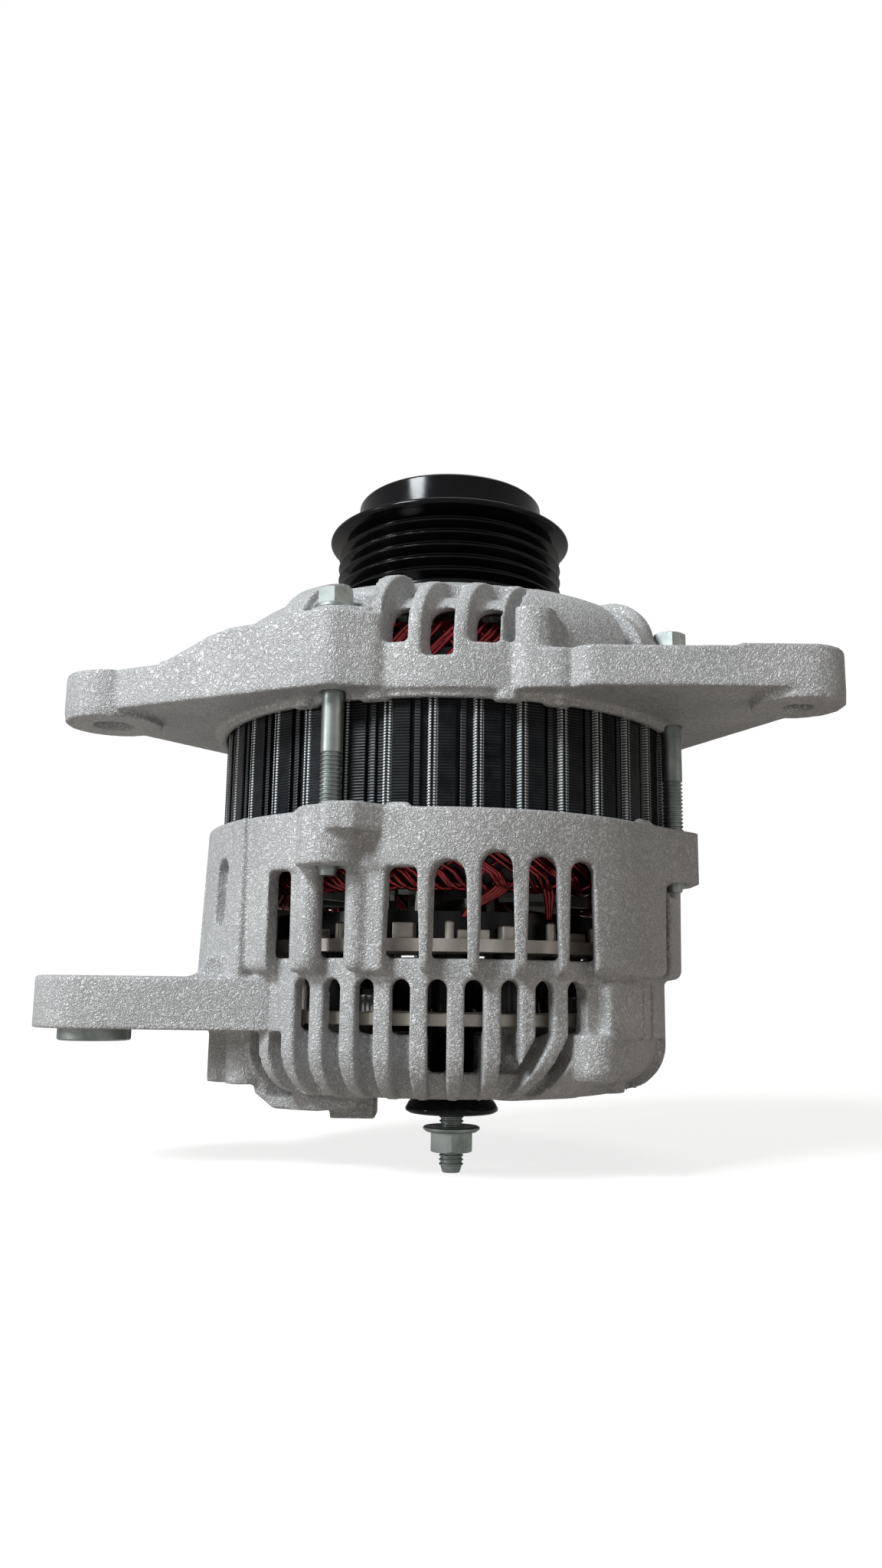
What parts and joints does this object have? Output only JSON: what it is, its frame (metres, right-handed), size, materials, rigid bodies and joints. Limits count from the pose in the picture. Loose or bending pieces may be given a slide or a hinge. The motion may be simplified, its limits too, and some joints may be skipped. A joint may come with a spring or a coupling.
{
  "type": "alternator",
  "caption": "Vehicle alternator with a ribbed freewheel pulley, finned cast brackets, a wound stator, a claw-pole rotor, mounting ears and an output stud.",
  "frame": {"origin": "on the rotor's axis, at the centre plane of the belt on the pulley", "axes": "+Z along the rotor's axis from the rear bracket towards the pulley's free end; +X from the pivot ear towards the adjuster ear; -Y is the side the picture was taken from"},
  "size_m": [0.1965, 0.142, 0.1852],
  "materials": {
    "cast_aluminium": "as cast, finely wrinkled",
    "laminated_steel": "black, striped edges",
    "insulating_sheet": "matt",
    "enamelled_copper": "glossy enamel",
    "zinc_steel": "zinc plated",
    "bearing_steel": "ground",
    "pole_steel": "forged and turned",
    "bobbin_plastic": "matt",
    "black_plastic": "satin",
    "ring_copper": "turned",
    "black_coated_steel": "gloss black",
    "heat_sink_aluminium": "milled",
    "carbon": "dark grey carbon",
    "spring_steel": "bright"
  },
  "bodies": {
    "housing": {"front_bracket": "cast_aluminium", "rear_bracket": "cast_aluminium", "stator_core": "laminated_steel", "slot_liners": "insulating_sheet", "stator_winding": "enamelled_copper", "winding_leads": "enamelled_copper", "through_bolts": "zinc_steel", "front_bearing_outer_race": "bearing_steel", "front_bearing_balls": "bearing_steel", "front_bearing_shields": "zinc_steel", "bearing_retainer_plate": "zinc_steel", "retainer_screws": "zinc_steel", "rear_bearing_outer_race": "bearing_steel", "rear_bearing_balls": "bearing_steel", "rear_bearing_shields": "zinc_steel", "rectifier_negative_plate": "heat_sink_aluminium", "rectifier_positive_plate": "heat_sink_aluminium", "negative_diodes": "zinc_steel", "positive_diodes": "zinc_steel", "rectifier_spacers": "bobbin_plastic", "terminal_block": "black_plastic", "rectifier_screws": "zinc_steel", "output_stud": "zinc_steel", "terminal_insulator": "black_plastic", "terminal_nut": "zinc_steel", "brush_holder": "black_plastic", "regulator_body": "black_plastic", "regulator_heat_sink": "heat_sink_aluminium", "regulator_screws": "zinc_steel", "plug_socket": "black_plastic", "socket_pins": "ring_copper", "rear_lug_bush": "zinc_steel", "upper_brush_spring": "spring_steel", "lower_brush_spring": "spring_steel"},
    "rotor": {"rotor_shaft": "bearing_steel", "front_spacer": "bearing_steel", "pulley_spacer": "bearing_steel", "front_claw_pole": "pole_steel", "rear_claw_pole": "pole_steel", "coil_bobbin": "bobbin_plastic", "field_coil": "enamelled_copper", "front_fan": "zinc_steel", "rear_fan": "zinc_steel", "slip_ring_sleeve": "black_plastic", "slip_rings": "ring_copper", "front_bearing_inner_race": "bearing_steel", "rear_bearing_inner_race": "bearing_steel", "clutch_hub": "bearing_steel", "clutch_rollers": "bearing_steel", "clutch_cage": "bobbin_plastic"},
    "pulley": {"pulley_ring": "black_coated_steel", "clutch_sleeve": "bearing_steel", "pulley_support_bearings": "bearing_steel", "pulley_dust_cap": "black_plastic"},
    "upper_brush_body": {"upper_brush": "carbon"},
    "lower_brush_body": {"lower_brush": "carbon"}
  },
  "joints": [
    {"name": "rotor_spin", "type": "hinge", "parent": "housing", "child": "rotor", "pos_m": [0, 0, -0.06], "axis": [0, 0, 1], "continuous": true},
    {"name": "pulley_overrun", "type": "hinge", "parent": "rotor", "child": "pulley", "pos_m": [0, 0, 0], "axis": [0, 0, 1], "continuous": true},
    {"name": "upper_brush_slide", "type": "slide", "parent": "housing", "child": "upper_brush_body", "axis": [0, 1, 0], "range_m": [0, 0.003], "stiffness_N_per_m": 150, "springref_m": -0.02, "deforming": ["upper_brush_spring"]},
    {"name": "lower_brush_slide", "type": "slide", "parent": "housing", "child": "lower_brush_body", "axis": [0, 1, 0], "range_m": [0, 0.003], "stiffness_N_per_m": 150, "springref_m": -0.02, "deforming": ["lower_brush_spring"]}
  ]
}
